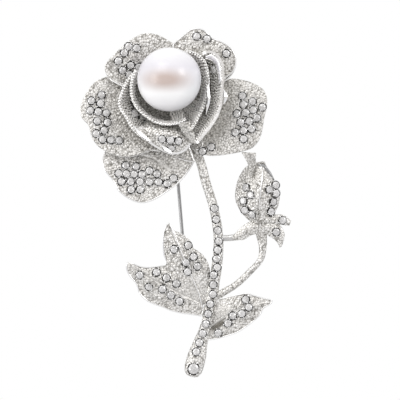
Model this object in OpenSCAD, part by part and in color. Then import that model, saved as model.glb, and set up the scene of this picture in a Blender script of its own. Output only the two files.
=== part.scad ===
// Rose brooch with a pearl: cast petals, leaves and stem, paved with round stones, on a hinged pin
// Millimetres. +Z is up as worn, the flower faces -Y, and the pin runs behind it in the plane y = 0.

/* [Pearl and stones] */
// Diameter of the pearl
pearl_d = 12; // [11:0.5:12.5]
// Diameter of a small round stone
stone_d = 1.35; // [1.1:0.05:1.45]
// Diameter of the stone in the stem's foot
foot_stone_d = 2; // [1.6:0.1:2.2]

/* [Metal] */
// Thickness of the outer petals and the leaves
petal_t = 0.7; // [0.5:0.05:0.9]
// Thickness of the petals of the cup and of the bud
cup_t = 0.55; // [0.4:0.05:0.7]
// Radius of the round plate behind the flower
disc_r = 6.5; // [6:0.1:6.8]
// Thickness of the round plate
disc_t = 1; // [0.8:0.1:1.2]

/* [Pin] */
// Diameter of the straight pin stem
pin_d = 0.6; // [0.5:0.02:0.7]
// Length of the pin's straight round wall, with the origin at its middle
pin_wall = 22; // [18:0.5:22.4]
// Lean of the pin from upright, its point towards +X
pin_lean = 4.8; // [0:0.2:8]
// Distance along the pin from the origin up to the hinge axis
hinge_up = 14; // [13.5:0.1:14.5]
// Diameter of the hinge rivet
rivet_d = 0.7; // [0.5:0.05:0.8]
// Radial clearance of the rivet in the pin's eye
rivet_gap = 0.05; // [0.02:0.01:0.08]

/* [Catch] */
// Distance along the pin from the origin down to the middle of the catch
catch_down = 12.9; // [12.8:0.05:13.2]
// Outside radius of the turning lock's sleeve
lock_r = 0.9; // [0.85:0.05:1]
// Radial clearance of the sleeve in the catch's rings
lock_gap = 0.05; // [0.03:0.01:0.08]
// Radius at the end of the lock's thumb tab
tab_reach = 2.6; // [2.2:0.1:3]

/* [Hidden] */
$fn = 48;
pin_r = pin_d / 2;
pearl_r = pearl_d / 2;
rivet_r = rivet_d / 2;
disc_back = -4.8;
disc_front = disc_back - disc_t;
flower = [-1.5, 17.6];                              // the disc's centre, as [x, z]
pearl_at = [-1.7, disc_front - pearl_r - 0.8, 20.2];
post_r = 0.5;
metal = "silver";
crystal = "lightcyan";

// Free edges of the outer petals, anticlockwise seen from the front, as [x, y, z]
rim_right = [[3.4, -7.6, 6.8], [5.6, -8.2, 6.1], [8.8, -8.4, 6.3], [12.1, -8.4, 6.9], [14.2, -8.4, 7.8],
    [15.5, -8.2, 10], [16, -8, 13], [16.6, -7.8, 15.6], [16.4, -7.5, 17.5], [15.3, -7.2, 19],
    [12.8, -6.9, 20.1], [9.9, -6.6, 20.6]];
rim_upper_right = [[8.2, -7.6, 20.2], [10.2, -7.8, 21.6], [10.8, -7.8, 23.8], [10.1, -7.7, 25.9], [8.2, -7.6, 27.3],
    [6.2, -7.2, 28.1], [4.7, -7.2, 29.6], [2.6, -7, 29.8], [0.9, -6.8, 28.6], [-1.1, -6.5, 26.9]];
rim_upper_left = [[-1, -6.6, 27], [-3.3, -6.9, 28.5], [-6.1, -7.2, 29], [-8.7, -7.5, 27.9], [-11.3, -7.7, 25.7],
    [-13.4, -7.8, 23.5], [-13.8, -7.8, 22.2], [-13.2, -7.9, 21], [-11.1, -8.1, 19.9], [-8.4, -8.2, 18.9]];
rim_left = [[-12.2, -6.6, 21.2], [-15.1, -6.9, 20.3], [-16.7, -7.2, 18.6], [-17.8, -7.4, 16.7], [-18.4, -7.6, 14.7],
    [-18, -7.8, 13], [-16.7, -8, 11.7], [-16.4, -8.2, 10], [-15.3, -8.4, 8.1], [-13.9, -8.6, 7.1],
    [-12.3, -8.8, 6.3], [-9.8, -8.9, 5.8], [-7.6, -8.9, 6.3], [-5.2, -8.8, 7.3], [-3, -8.6, 7.2]];
rim_bottom = [[-13.2, -6.6, 8.6], [-13.9, -6.6, 6.6], [-14.3, -6.8, 4.7], [-13.6, -7.1, 3], [-12.1, -7.3, 1.3],
    [-11.3, -7.5, -0.4], [-9.3, -7.6, -2], [-6.9, -7.7, -2.8], [-4.6, -7.6, -2.2], [-2.4, -7.4, -0.9],
    [-0.2, -7.2, 0.7], [1.7, -7, 2.8], [3.1, -6.8, 5.2]];

// Free edges of the cup's petals
rim_mid_left = [[-8.2, -10.8, 21.2], [-9.5, -11, 19.7], [-10.6, -11.4, 16.9], [-10.8, -11.7, 15.4],
    [-9.7, -12, 13.6], [-8.4, -12.2, 11.3], [-6.8, -12.2, 9.8], [-5, -12, 8.8]];
rim_mid_front = [[-7.7, -11.4, 11.1], [-5.4, -11.2, 8.6], [-3, -10.8, 7.1], [-1.2, -10.6, 6.4],
    [1.1, -10.8, 7], [2.3, -11.2, 8.9]];
rim_mid_right = [[3.3, -12.9, 8.6], [4.6, -12.8, 10.2], [6.1, -12.6, 12.1], [7.5, -12.2, 14.9], [7.9, -11.6, 19],
    [8, -11.2, 22.3], [7.3, -10.8, 24.2], [6.1, -10.4, 25.1], [4.7, -10, 24.8]];
rim_in_left = [[-7.8, -10.8, 21.8], [-8.6, -11.2, 19.4], [-8.4, -11.6, 16.9], [-7.5, -12, 15], [-5.8, -12.3, 13.5],
    [-4.2, -12.5, 12.5], [-2.2, -12.6, 12.1], [-0.2, -12.6, 12.3], [1.2, -12.5, 12.9]];
rim_in_right = [[2.3, -12.6, 11.1], [3.5, -12.3, 13.2], [4.7, -11.8, 15.8], [5.4, -11.2, 19.2], [5.2, -10.8, 21.9],
    [4.6, -10.4, 23.6], [3.4, -10, 24.7], [1.6, -9.6, 25.4]];

// Free edges of the leaves
rim_leaf_left = [[6.2, -4.8, -17], [5.8, -4.9, -14.2], [4.8, -5, -12.5], [3.6, -5.1, -11.5], [2.8, -5.2, -11],
    [2.3, -5.3, -9.6], [1.3, -5.4, -8.8], [0.3, -5.5, -8.1], [-1, -5.6, -7.7], [-1.8, -5.8, -6.2],
    [-2.7, -5.6, -7.8], [-2.9, -5.4, -9.4], [-2.8, -5.1, -12], [-2.2, -4.9, -13.9], [-3.4, -5, -14.4], [-5.4, -5.2, -14.7],
    [-7.2, -5.4, -14.6], [-9.4, -5.6, -13.7], [-9.8, -5.4, -15], [-8.9, -5.2, -16.6], [-7.8, -5, -17.9],
    [-7.5, -4.9, -19.2], [-6.3, -4.8, -20.7], [-4.6, -4.7, -21.6], [-2.8, -4.7, -22.2], [-1.5, -4.7, -22.8],
    [0.6, -4.7, -23.3], [2.4, -4.7, -23.5], [4.4, -4.7, -23.8]];
rim_leaf_right = [[5.1, -4.7, -28.3], [7.1, -4.8, -28], [9.3, -5, -27.4], [10.8, -5.1, -26.9], [12.2, -5.2, -26.1],
    [13.8, -5.3, -24.9], [15.2, -5.4, -23.6], [15.9, -5.5, -22.2], [17, -5.6, -21.6], [17.6, -5.8, -20.8],
    [15.9, -5.6, -20.4], [14.2, -5.4, -19.9], [12.8, -5.2, -19.5], [11.1, -5, -19.7], [9, -4.8, -20.2],
    [7.1, -4.7, -20.6]];

// Routes of the stem, the bud's branch and the link bar, as [x, y, z, half width, half depth]
stem_route = [[0.8, -5.3, 11.8, 0.8, 0.7], [2.6, -5.4, 8, 0.9, 0.8], [4.1, -5.3, 5, 0.95, 0.9],
    [5.1, -5.1, 1.1, 0.95, 0.9], [6.5, -4.8, -3.3, 0.95, 0.9], [7.4, -4.6, -8.5, 1, 0.9],
    [7.3, -4.5, -13.4, 1.05, 0.95], [6.3, -4.5, -19.5, 1.15, 1], [5.2, -4.5, -25.4, 1.15, 1.05],
    [4.1, -4.5, -28.7, 1.45, 1.2], [3.5, -4.5, -31, 1.85, 1.3], [2.9, -4.5, -33.2, 1.9, 1.3],
    [2.7, -4.5, -34.3, 1.65, 1.1], [2.6, -4.5, -34.9, 1.15, 0.8], [2.55, -4.5, -35.15, 0.4, 0.4]];
branch_route = [[6.5, -4.5, -20.4, 0.8, 0.75], [8.6, -4.5, -19.2, 0.75, 0.7], [10.9, -4.5, -17.8, 0.7, 0.7],
    [13.4, -4.5, -15.4, 0.68, 0.65], [15.3, -4.5, -13.3, 0.66, 0.65], [15.7, -4.5, -11.2, 0.8, 0.7],
    [15.6, -4.6, -9.4, 1.05, 0.85], [15.2, -4.9, -7.4, 1.2, 1], [15, -5.1, -6, 1, 0.9]];
link_route = [[7.6, -4.7, -9.2, 0.62, 0.5], [9.2, -4.8, -9.25, 0.62, 0.5], [11, -5, -9, 0.7, 0.5]];

// Edges of the bud's petals and sepals: the first is on the right hand of one who looks towards the tip
seam = [[15.2, -6.4, -6.4], [14.8, -7.6, -4], [15.1, -8.1, -1.4], [15.4, -7.9, 0.5], [16, -7.1, 2.8], [15.4, -6.4, 4.6]];
seam_under = [[14.7, -6, -6.3], [14.4, -7, -4], [14.6, -7.5, -1.4], [14.9, -7.3, 0.5], [15.4, -6.5, 2.7],
    [15.1, -6, 4.3]];
bud_left_edge = [[14.2, -5.6, -6.6], [12.5, -5, -5.6], [10.8, -4.7, -3.2], [10.4, -4.6, -1.1], [10.7, -4.6, 0.9],
    [11.5, -4.7, 2.8], [12.6, -5, 4.3], [14.6, -5.6, 5.1]];
bud_right_edge = [[16, -5.6, -6.5], [17.8, -5, -5], [18.7, -4.8, -3.2], [19, -4.7, -1.6], [18.8, -4.7, 0],
    [18.1, -4.8, 1.4], [17, -5, 2.9], [15.8, -5.4, 4.4]];
bud_back_edges = [[[16.2, -4.2, -3], [17.4, -4.2, 0], [16.8, -4.6, 3], [16, -5.4, 4.9]],
    [[13.8, -4.2, -3], [12.8, -4.2, 0], [13.2, -4.4, 3], [14.2, -5, 4.9]]];
bud_strip_edges = [[[11.6, -8, 6.7], [12.4, -7.9, 5.4], [13, -7.6, 4], [13.3, -7.3, 1.9]],
    [[14.5, -8, 6.7], [14.5, -7.9, 5.6], [14.4, -7.6, 4.2], [13.7, -7.3, 1.9]]];
sepal_left_edges = [[[14.9, -5.9, -5.9], [13.1, -5.8, -6.1], [11.2, -5.6, -7.5], [10, -5.4, -8.8]],
    [[14.8, -5.9, -8.5], [13.5, -5.8, -8.8], [12.1, -5.6, -9.7], [10, -5.4, -9.7]]];
sepal_upper_edges = [[[15.5, -5.9, -7.1], [17.4, -5.8, -7], [19.2, -5.6, -6.9], [20.7, -5.3, -7]],
    [[15.5, -5.9, -5.2], [17.6, -5.8, -4.8], [19.6, -5.6, -4.8], [21.05, -5.3, -6]]];
sepal_lower_edges = [[[15.2, -5.9, -7.8], [16.7, -5.8, -8.9], [18.1, -5.6, -9.8], [18.8, -5.3, -11.1]],
    [[16.6, -5.9, -6.2], [19.1, -5.8, -6.8], [19.9, -5.6, -8.8], [19.4, -5.3, -10.6]]];

// Rows of stones as seen from the front: [x, z] of the first and the last stone, and how many
rows_upper_left = [[[-9.3, 26.4], [-7.8, 26.1], 2], [[-10.1, 25.2], [-11.2, 23.7], 2], [[-10.4, 22], [-9.1, 21.2], 2],
    [[-8.9, 22.9], [-7.4, 22.6], 2]];
rows_upper_right = [[[3.4, 28.3], [5.3, 27.8], 2], [[8.9, 25.1], [8.9, 25.1], 1]];
rows_right = [[[11.9, 17.2], [15.6, 15.1], 3], [[12.1, 15.6], [13.9, 14.6], 2], [[10.9, 13.9], [12.5, 14.1], 2],
    [[14.6, 13.1], [13.2, 12.5], 2], [[11.6, 12.3], [11.6, 12.3], 1], [[10.6, 10.4], [13.6, 11.1], 3],
    [[12.1, 9.2], [12.1, 9.2], 1], [[6.1, 7.7], [4.5, 6.9], 2]];
rows_left = [[[-14.3, 17.4], [-14.3, 17.4], 1], [[-16.2, 16.3], [-14.5, 15.8], 2], [[-16.4, 14.5], [-13.4, 14], 3],
    [[-15.1, 12.5], [-13.2, 12.3], 2], [[-13.8, 10.8], [-15.3, 10.2], 2], [[-14.1, 9.1], [-11, 8.9], 3]];
rows_bottom = [[[-9.8, 4.3], [-7.9, 4.1], 2], [[-11.1, 2.8], [-6.8, 2.6], 4], [[-5.4, 3.3], [-4, 2.7], 2],
    [[-10.6, 1.3], [-3.7, 1.2], 5], [[-8.8, -0.2], [-7.1, -0.2], 2], [[-0.9, 1.9], [-2.1, 0.9], 2]];
foot_z = -33.6;
rows_stem = [[[6.7, -3.7], [7.3, -7.8], 3], [[7.5, -9.8], [7.1, -13.1], 3], [[7.2, -14.7], [7.2, -14.7], 1],
    [[6.5, -16.1], [6.4, -19.7], 3], [[5.9, -21.5], [5.1, -25.2], 3], [[4.5, -27], [3.3, -30.4], 3]];
rows_mid_left = [[[-8.2, 13.9], [-6.7, 13.2], 2]];
rows_mid_front = [[[-3, 9.2], [0, 8.8], 3], [[-1.3, 7.5], [-1.3, 7.5], 1]];
rows_mid_right = [[[6.7, 22.1], [6.7, 22.1], 1]];
rows_leaf_left = [[[-4.1, -15.6], [-0.4, -17.7], 3], [[-7.2, -16.1], [-5.5, -18.3], 2], [[-3, -18.7], [0.2, -21], 3],
    [[-0.8, -11.3], [-0.8, -11.3], 1], [[1.8, -10.6], [1.8, -10.6], 1], [[2.8, -12.7], [1.4, -13.8], 2],
    [[3.5, -14.5], [1.7, -15.5], 2]];
rows_leaf_right = [[[12.5, -20.7], [13.1, -22.1], 2], [[11.8, -23.3], [10.1, -23.7], 2], [[9.2, -25.1], [7.4, -26.9], 2]];
rows_bud_left = [[[12.6, 0.2], [13.4, -1.2], 2], [[12.1, -2.3], [12.4, -4], 2], [[13.7, -4.8], [13.7, -4.8], 1]];
rows_bud_right = [[[16.8, -0.2], [16.8, -0.2], 1], [[18, 0.6], [18.1, -0.9], 2], [[17.6, -2.5], [17.2, -4.3], 2]];
rows_sepal_upper = [[[19.4, -5.9], [19.4, -5.9], 1]];
rows_sepal_lower = [[[18.2, -8.1], [18.2, -8.1], 1]];

// ---- Curves and surfaces ----

function mix(a, b, t) = a + (b - a) * t;
function unit(v) = v / norm(v);
function clamp(t) = min(max(t, 0.02), 0.98);

// A smooth curve through pts, with t from 0 at the first to 1 at the last
function curve(pts, t) =
    let (n = len(pts) - 1, s = min(max(t, 0), 1) * n, i = min(floor(s), n - 1), f = s - i,
         a = pts[max(i - 1, 0)], b = pts[i], c = pts[i + 1], d = pts[min(i + 2, n)])
    0.5 * (2 * b + (c - a) * f + (2 * a - 5 * b + 4 * c - d) * f * f + (3 * b - a - 3 * c + d) * f * f * f);

// A petal's front: u runs from the root, a ring of radius r about base, to the rim, and v along the rim.
// It swells forward by dome, most at the share called reach of the way out.
function petal(rim, base, r, reach, dome, u, v) =
    let (e = curve(rim, v), k = r / norm([e.x - base.x, e.z - base.z]),
         root = [mix(base.x, e.x, k), base.y, mix(base.z, e.z, k)],
         m = mix(root, e, reach),
         mid = [m.x, (root.y + e.y) / 2 - dome * pow(sin(180 * min(max(v, 0), 1)), 0.6), m.z])
    root * (1 - u) * (1 - u) + mid * 2 * u * (1 - u) + e * u * u;

// A blade's front between two edges, base to tip along u and edge to edge along v, swelling by crown
function blade(edges, crown, u, v) =
    mix(curve(edges[0], u), curve(edges[1], u), v) - [0, crown * sin(180 * min(max(v, 0), 1)), 0];

function outer(rim, dome) = function(u, v) petal(rim, [-1.3, disc_front, 17], 5.6, 0.6, dome, u, v);
function middle(rim, reach, dome) = function(u, v) petal(rim, [-1.4, disc_front, 17.6], 4.9, reach, dome, u, v);
function inner(rim, dome) = function(u, v) petal(rim, [-1.7, disc_front, 19.2], 4.1, 0.85, dome, u, v);
f_right = outer(rim_right, 1.5);
f_upper_right = outer(rim_upper_right, 1.2);
f_upper_left = outer(rim_upper_left, 1.4);
f_left = outer(rim_left, 1.6);
f_bottom = outer(rim_bottom, 0.7);
f_mid_left = middle(rim_mid_left, 0.7, -0.8);
f_mid_front = middle(rim_mid_front, 0.17, 8);
f_mid_right = middle(rim_mid_right, 0.75, -0.8);
f_in_left = inner(rim_in_left, -1.2);
f_in_right = inner(rim_in_right, -1.2);
f_leaf_left = function(u, v) petal(rim_leaf_left, [4.9, -4.7, -22], 0.4, 0.5, 0.7, u, v);
f_leaf_right = function(u, v) petal(rim_leaf_right, [5.4, -4.7, -24.8], 0.7, 0.5, 0.7, u, v);
f_bud_left = function(u, v) blade([seam, bud_left_edge], 0.9, u, v);
f_bud_right = function(u, v) blade([bud_right_edge, seam_under], 0.9, u, v);
f_bud_back = function(u, v) blade(bud_back_edges, 0, u, v);
f_bud_strip = function(u, v) blade(bud_strip_edges, 0.3, u, v);
f_sepal_left = function(u, v) blade(sepal_left_edges, 0.4, u, v);
f_sepal_upper = function(u, v) blade(sepal_upper_edges, 0.4, u, v);
f_sepal_lower = function(u, v) blade(sepal_lower_edges, 0.4, u, v);

// Unit normal on the front side of f
function front_normal(f, u, v) =
    let (h = 0.004, u0 = min(max(u, h), 1 - h), v0 = min(max(v, h), 1 - h))
    unit(cross(f(u0 + h, v0) - f(u0 - h, v0), f(u0, v0 + h) - f(u0, v0 - h)));

// [u, v] of the place on f that lies at x, z seen from the front: the nearest point of a grid, then Newton's steps
function seat(f, x, z) =
    let (spots = [for (i = [1:6]) for (j = [1:24]) let (p = f(i / 7, j / 25)) [norm([p.x - x, p.z - z]), i / 7, j / 25]],
         least = min([for (s = spots) s[0]]), near = [for (s = spots) if (s[0] == least) s][0])
    step_to(f, x, z, near[1], near[2], 6);

function step_to(f, x, z, u, v, steps) =
    steps == 0 ? [u, v] :
    let (h = 0.01, p = f(u, v), a = (f(u + h, v) - f(u - h, v)) / (2 * h),
         b = (f(u, v + h) - f(u, v - h)) / (2 * h),
         dx = x - p.x, dz = z - p.z, det = a.x * b.z - b.x * a.z)
    step_to(f, x, z, clamp(u + (dx * b.z - b.x * dz) / det), clamp(v + (a.x * dz - dx * a.z) / det), steps - 1);

// Shares of the stem's route against the height they lie at, for lookup()
stem_shares = [for (k = [100:-1:0]) [curve(stem_route, k / 100).z, k / 100]];

// Triangles of a grid of points with w columns, seen the same way round as its rows and columns run
function grid_faces(rows, w, at) =
    [for (i = [0:rows - 2]) for (j = [0:w - 2]) let (a = at + i * w + j)
        each [[a, a + 1, a + w + 1], [a, a + w + 1, a + w]]];

// Closed plate: the front follows f, and the back lies t behind it
module plate(f, nu, nv, t) {
    w = nv + 1;
    n = (nu + 1) * w;
    front = [for (i = [0:nu]) for (j = [0:nv]) f(i / nu, j / nv)];
    back = [for (i = [0:nu]) for (j = [0:nv]) f(i / nu, j / nv) - t * front_normal(f, i / nu, j / nv)];
    outline = concat([for (j = [0:nv]) j], [for (i = [1:nu]) i * w + nv],
                     [for (j = [1:nv]) nu * w + nv - j], [for (i = [1:nu - 1]) (nu - i) * w]);
    m = len(outline);
    polyhedron(concat(front, back), concat(
        grid_faces(nu + 1, w, 0),
        [for (q = grid_faces(nu + 1, w, n)) [q[2], q[1], q[0]]],
        [for (k = [0:m - 1]) let (a = outline[k], b = outline[(k + 1) % m]) each [[b, a, a + n], [b, a + n, b + n]]]));
}

// Closed rod along a route, with an oval section
module rod(route, rings, sides) {
    points = [for (i = [0:rings]) for (k = [0:sides - 1])
        let (t = i / rings, c = curve(route, t), q = curve(route, min(t + 0.01, 1)) - curve(route, max(t - 0.01, 0)),
             side = unit(cross([q.x, q.y, q.z], [0, -1, 0])), ahead = unit(cross(side, [q.x, q.y, q.z])),
             a = 360 * k / sides)
        [c.x, c.y, c.z] + side * c[3] * cos(a) + ahead * c[4] * sin(a)];
    last = rings * sides;
    polyhedron(points, concat(
        [for (i = [0:rings - 1]) for (k = [0:sides - 1])
            let (a = i * sides + k, b = i * sides + (k + 1) % sides)
            each [[a, b, b + sides], [a, b + sides, a + sides]]],
        [for (k = [1:sides - 2]) [0, k + 1, k]],
        [for (k = [1:sides - 2]) [last, last + k, last + k + 1]]));
}

// A round stone: pointed below its girdle, with a flat table above it
module stone(d) {
    girdle = 0.06 * d;
    translate([0, 0, -0.4 * d]) cylinder(h = 0.4 * d, r1 = 0.06 * d, r2 = d / 2);
    cylinder(h = girdle, r = d / 2);
    translate([0, 0, girdle]) cylinder(h = 0.16 * d, r1 = d / 2, r2 = 0.3 * d);
}

module place(p, n) {
    translate(p) rotate([0, acos(n.z), atan2(n.y, n.x)]) children();
}

// Stones along rows, set in the front of f with their girdles just proud of the metal
module paving(f, rows) {
    color(crystal) for (row = rows) for (k = [0:row[2] - 1])
        let (q = mix(row[0], row[1], row[2] > 1 ? k / (row[2] - 1) : 0), s = seat(f, q.x, q.y),
             n = front_normal(f, s.x, s.y))
        place(f(s.x, s.y) + 0.12 * n, n) stone(stone_d);
}

// Sets a round part down at x, y, z with its axis running forwards, along -Y
module facing(x, y, z) {
    translate([x, y, z]) rotate([90, 0, 0]) children();
}

// The pin's own frame: z runs up along the pin, and x along the hinge axis
module along_pin() {
    rotate([0, -pin_lean, 0]) children();
}

// ---- The flower ----

module flower_disc() {
    color(metal) facing(flower.x, disc_back, flower.y) difference() {
        cylinder(h = disc_t, r = disc_r);
        translate([0, 0, -0.1]) cylinder(h = 0.4, r1 = disc_r - 1.4, r2 = disc_r - 1.8);
    }
}

module petal_outer_right() { color(metal) plate(f_right, 8, 26, petal_t); }
module petal_outer_upper_right() { color(metal) plate(f_upper_right, 8, 26, petal_t); }
module petal_outer_upper_left() { color(metal) plate(f_upper_left, 8, 26, petal_t); }
module petal_outer_left() { color(metal) plate(f_left, 8, 30, petal_t); }
module petal_outer_bottom() { color(metal) plate(f_bottom, 8, 28, petal_t); }
module petal_middle_left() { color(metal) plate(f_mid_left, 8, 16, cup_t); }
module petal_middle_front() { color(metal) plate(f_mid_front, 10, 14, cup_t); }
module petal_middle_right() { color(metal) plate(f_mid_right, 8, 18, cup_t); }
module petal_inner_left() { color(metal) plate(f_in_left, 7, 20, cup_t); }
module petal_inner_right() { color(metal) plate(f_in_right, 7, 18, cup_t); }

module pearl_cup() {
    color(metal) difference() {
        facing(pearl_at.x, disc_front, pearl_at.z) cylinder(h = 1.8, r1 = 3.4, r2 = 3);
        translate(pearl_at) sphere(r = pearl_r + 0.02);
        facing(pearl_at.x, disc_front + 1, pearl_at.z) cylinder(h = 4, r = post_r + 0.01);
    }
}

module pearl_post() {
    color(metal) facing(pearl_at.x, disc_front, pearl_at.z) cylinder(h = 3.8, r = post_r);
}

module pearl() {
    color("white") difference() {
        translate(pearl_at) sphere(r = pearl_r);
        facing(pearl_at.x, disc_front, pearl_at.z) cylinder(h = 4, r = post_r + 0.02);
    }
}

// ---- Stem, leaves and bud ----

module stem() { color(metal) rod(stem_route, 44, 12); }
module bud_branch() { color(metal) rod(branch_route, 24, 10); }
module bud_link_bar() { color(metal) rod(link_route, 5, 10); }
module bud_petal_left() { color(metal) plate(f_bud_left, 14, 6, cup_t); }
module bud_petal_right() { color(metal) plate(f_bud_right, 14, 6, cup_t); }
module bud_petal_back() { color(metal) plate(f_bud_back, 8, 3, cup_t); }
module bud_strip() { color(metal) plate(f_bud_strip, 8, 4, cup_t); }
module sepal_left() { color(metal) plate(f_sepal_left, 8, 4, petal_t); }
module sepal_upper_right() { color(metal) plate(f_sepal_upper, 8, 4, petal_t); }
module sepal_lower_right() { color(metal) plate(f_sepal_lower, 8, 4, petal_t); }
module leaf_left() { color(metal) plate(f_leaf_left, 8, 44, petal_t); }
module leaf_right() { color(metal) plate(f_leaf_right, 8, 30, petal_t); }

// ---- Stones ----

module stones_upper_left() { paving(f_upper_left, rows_upper_left); }
module stones_upper_right() { paving(f_upper_right, rows_upper_right); }
module stones_right() { paving(f_right, rows_right); }
module stones_left() { paving(f_left, rows_left); }
module stones_bottom() { paving(f_bottom, rows_bottom); }
module stones_middle_left() { paving(f_mid_left, rows_mid_left); }
module stones_middle_front() { paving(f_mid_front, rows_mid_front); }
module stones_middle_right() { paving(f_mid_right, rows_mid_right); }
module stones_leaf_left() { paving(f_leaf_left, rows_leaf_left); }
module stones_leaf_right() { paving(f_leaf_right, rows_leaf_right); }
module stones_bud_left() { paving(f_bud_left, rows_bud_left); }
module stones_bud_right() { paving(f_bud_right, rows_bud_right); }
module stones_sepals() {
    paving(f_sepal_upper, rows_sepal_upper);
    paving(f_sepal_lower, rows_sepal_lower);
}

// A single file of stones down the stem's front
module stones_stem() {
    color(crystal) for (row = rows_stem) for (k = [0:row[2] - 1])
        let (q = mix(row[0], row[1], row[2] > 1 ? k / (row[2] - 1) : 0),
             c = curve(stem_route, lookup(q.y, stem_shares)), off = (q.x - c.x) / c[3])
        place([q.x, c.y - c[4] * sqrt(1 - off * off) - 0.1, q.y], [0, -1, 0]) stone(stone_d);
}

module stone_foot() {
    c = curve(stem_route, lookup(foot_z, stem_shares));
    color(crystal) place([c.x, c.y - c[4] + 0.1, c.z], [0, -1, 0]) stone(foot_stone_d);
}

// ---- Pin, hinge and catch ----

knuckle_r = 0.85;
knuckle_w = 1.2;
ear_in = knuckle_w / 2 + 0.1;
ear_t = 0.7;
ear_r = 1.05;

module pin_stem() {
    point = catch_down + 1.9;
    color("lightgray") along_pin() {
        difference() {
            union() {
                translate([0, 0, -pin_wall / 2]) cylinder(h = pin_wall, r = pin_r);
                translate([0, 0, pin_wall / 2]) cylinder(h = hinge_up - pin_wall / 2, r = pin_r + 0.2);
                translate([-knuckle_w / 2, 0, hinge_up]) rotate([0, 90, 0]) cylinder(h = knuckle_w, r = knuckle_r);
            }
            translate([-1, 0, hinge_up]) rotate([0, 90, 0]) cylinder(h = 2, r = rivet_r + rivet_gap);
        }
        translate([0, 0, -point]) cylinder(h = point - pin_wall / 2, r1 = pin_r - 0.04, r2 = pin_r - 0.01);
        translate([0, 0, -point - 1.6]) cylinder(h = 1.6, r1 = 0.04, r2 = pin_r - 0.04);
    }
}

module ear(x) {
    translate([x, 0, hinge_up]) rotate([0, 90, 0]) difference() {
        union() {
            cylinder(h = ear_t, r = ear_r);
            linear_extrude(ear_t) polygon([[-1.7, disc_back], [1.7, disc_back], [ear_r, 0], [-ear_r, 0]]);
        }
        translate([0, 0, -1]) cylinder(h = 3, r = rivet_r + 0.01);
    }
}

module hinge_base() {
    color(metal) along_pin() {
        translate([-ear_in - ear_t - 0.3, disc_back - 0.05, hinge_up - 2])
            cube([2 * (ear_in + ear_t + 0.3), 0.55, 4]);
        ear(ear_in);
        ear(-ear_in - ear_t);
    }
}

module hinge_rivet() {
    outside = ear_in + ear_t;
    color("lightgray") along_pin() translate([0, 0, hinge_up]) rotate([0, 90, 0]) {
        translate([0, 0, -outside - 0.3]) cylinder(h = 2 * outside + 0.6, r = rivet_r);
        for (s = [outside + 0.01, -outside - 0.31]) translate([0, 0, s]) cylinder(h = 0.3, r = rivet_r + 0.3);
    }
}

ring_t = 0.7;
collar_t = 0.8;
ring_r = lock_r + lock_gap + 0.5;
catch_foot_y = -4.75;

// One of the catch's two open rings on its post, from z to z + ring_t
module ring(z) {
    translate([0, 0, z]) difference() {
        union() {
            cylinder(h = ring_t, r = ring_r);
            translate([-1, catch_foot_y + 0.1, 0]) cube([2, -catch_foot_y - 0.1, ring_t]);
        }
        translate([0, 0, -1]) cylinder(h = 3, r = lock_r + lock_gap);
        translate([-0.5, 0, -1]) cube([1, 3, 3]);
    }
}

module catch_base() {
    color(metal) along_pin() translate([0, 0, -catch_down]) {
        ring(collar_t / 2 + 0.1);
        ring(-collar_t / 2 - 0.1 - ring_t);
        translate([-1.3, catch_foot_y, -1.7]) cube([2.6, 0.8, 3.4]);
    }
}

module catch_lock() {
    sleeve = collar_t + 0.2 + 2 * ring_t + 0.5;
    color("lightgray") along_pin() translate([0, 0, -catch_down]) difference() {
        union() {
            translate([0, 0, -sleeve / 2]) cylinder(h = sleeve, r = lock_r);
            translate([0, 0, -collar_t / 2]) {
                cylinder(h = collar_t, r = ring_r - 0.05);
                rotate(25) {
                    translate([0, -0.3, 0]) cube([tab_reach - 0.45, 0.6, collar_t]);
                    translate([tab_reach - 0.45, 0, 0]) cylinder(h = collar_t, r = 0.45);
                }
            }
        }
        translate([0, 0, -3]) cylinder(h = 6, r = 0.5);
        translate([-0.4, 0, -3]) cube([0.8, 3, 6]);
    }
}

flower_disc();
petal_outer_right();
petal_outer_upper_right();
petal_outer_upper_left();
petal_outer_left();
petal_outer_bottom();
petal_middle_left();
petal_middle_front();
petal_middle_right();
petal_inner_left();
petal_inner_right();
pearl_cup();
pearl_post();
pearl();
stem();
bud_branch();
bud_link_bar();
bud_petal_left();
bud_petal_right();
bud_petal_back();
bud_strip();
sepal_left();
sepal_upper_right();
sepal_lower_right();
leaf_left();
leaf_right();
hinge_base();
hinge_rivet();
pin_stem();
catch_base();
catch_lock();
stones_upper_left();
stones_upper_right();
stones_right();
stones_left();
stones_bottom();
stones_middle_left();
stones_middle_front();
stones_middle_right();
stones_stem();
stone_foot();
stones_bud_left();
stones_bud_right();
stones_sepals();
stones_leaf_left();
stones_leaf_right();
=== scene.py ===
"""Rose brooch with a pearl: its looks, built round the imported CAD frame.

Every petal, leaf and rod is the CAD node's own shape, smoothed, remeshed finely and given its cast grain.
A cut stone in a socket with claws stands for each of the CAD's plain ones. Meshes are made in millimetres and
set down in metres.
"""

import math
import random

import bmesh
import bpy
import numpy as np
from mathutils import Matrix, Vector
from mathutils.bvhtree import BVHTree
from mathutils.kdtree import KDTree


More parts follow.
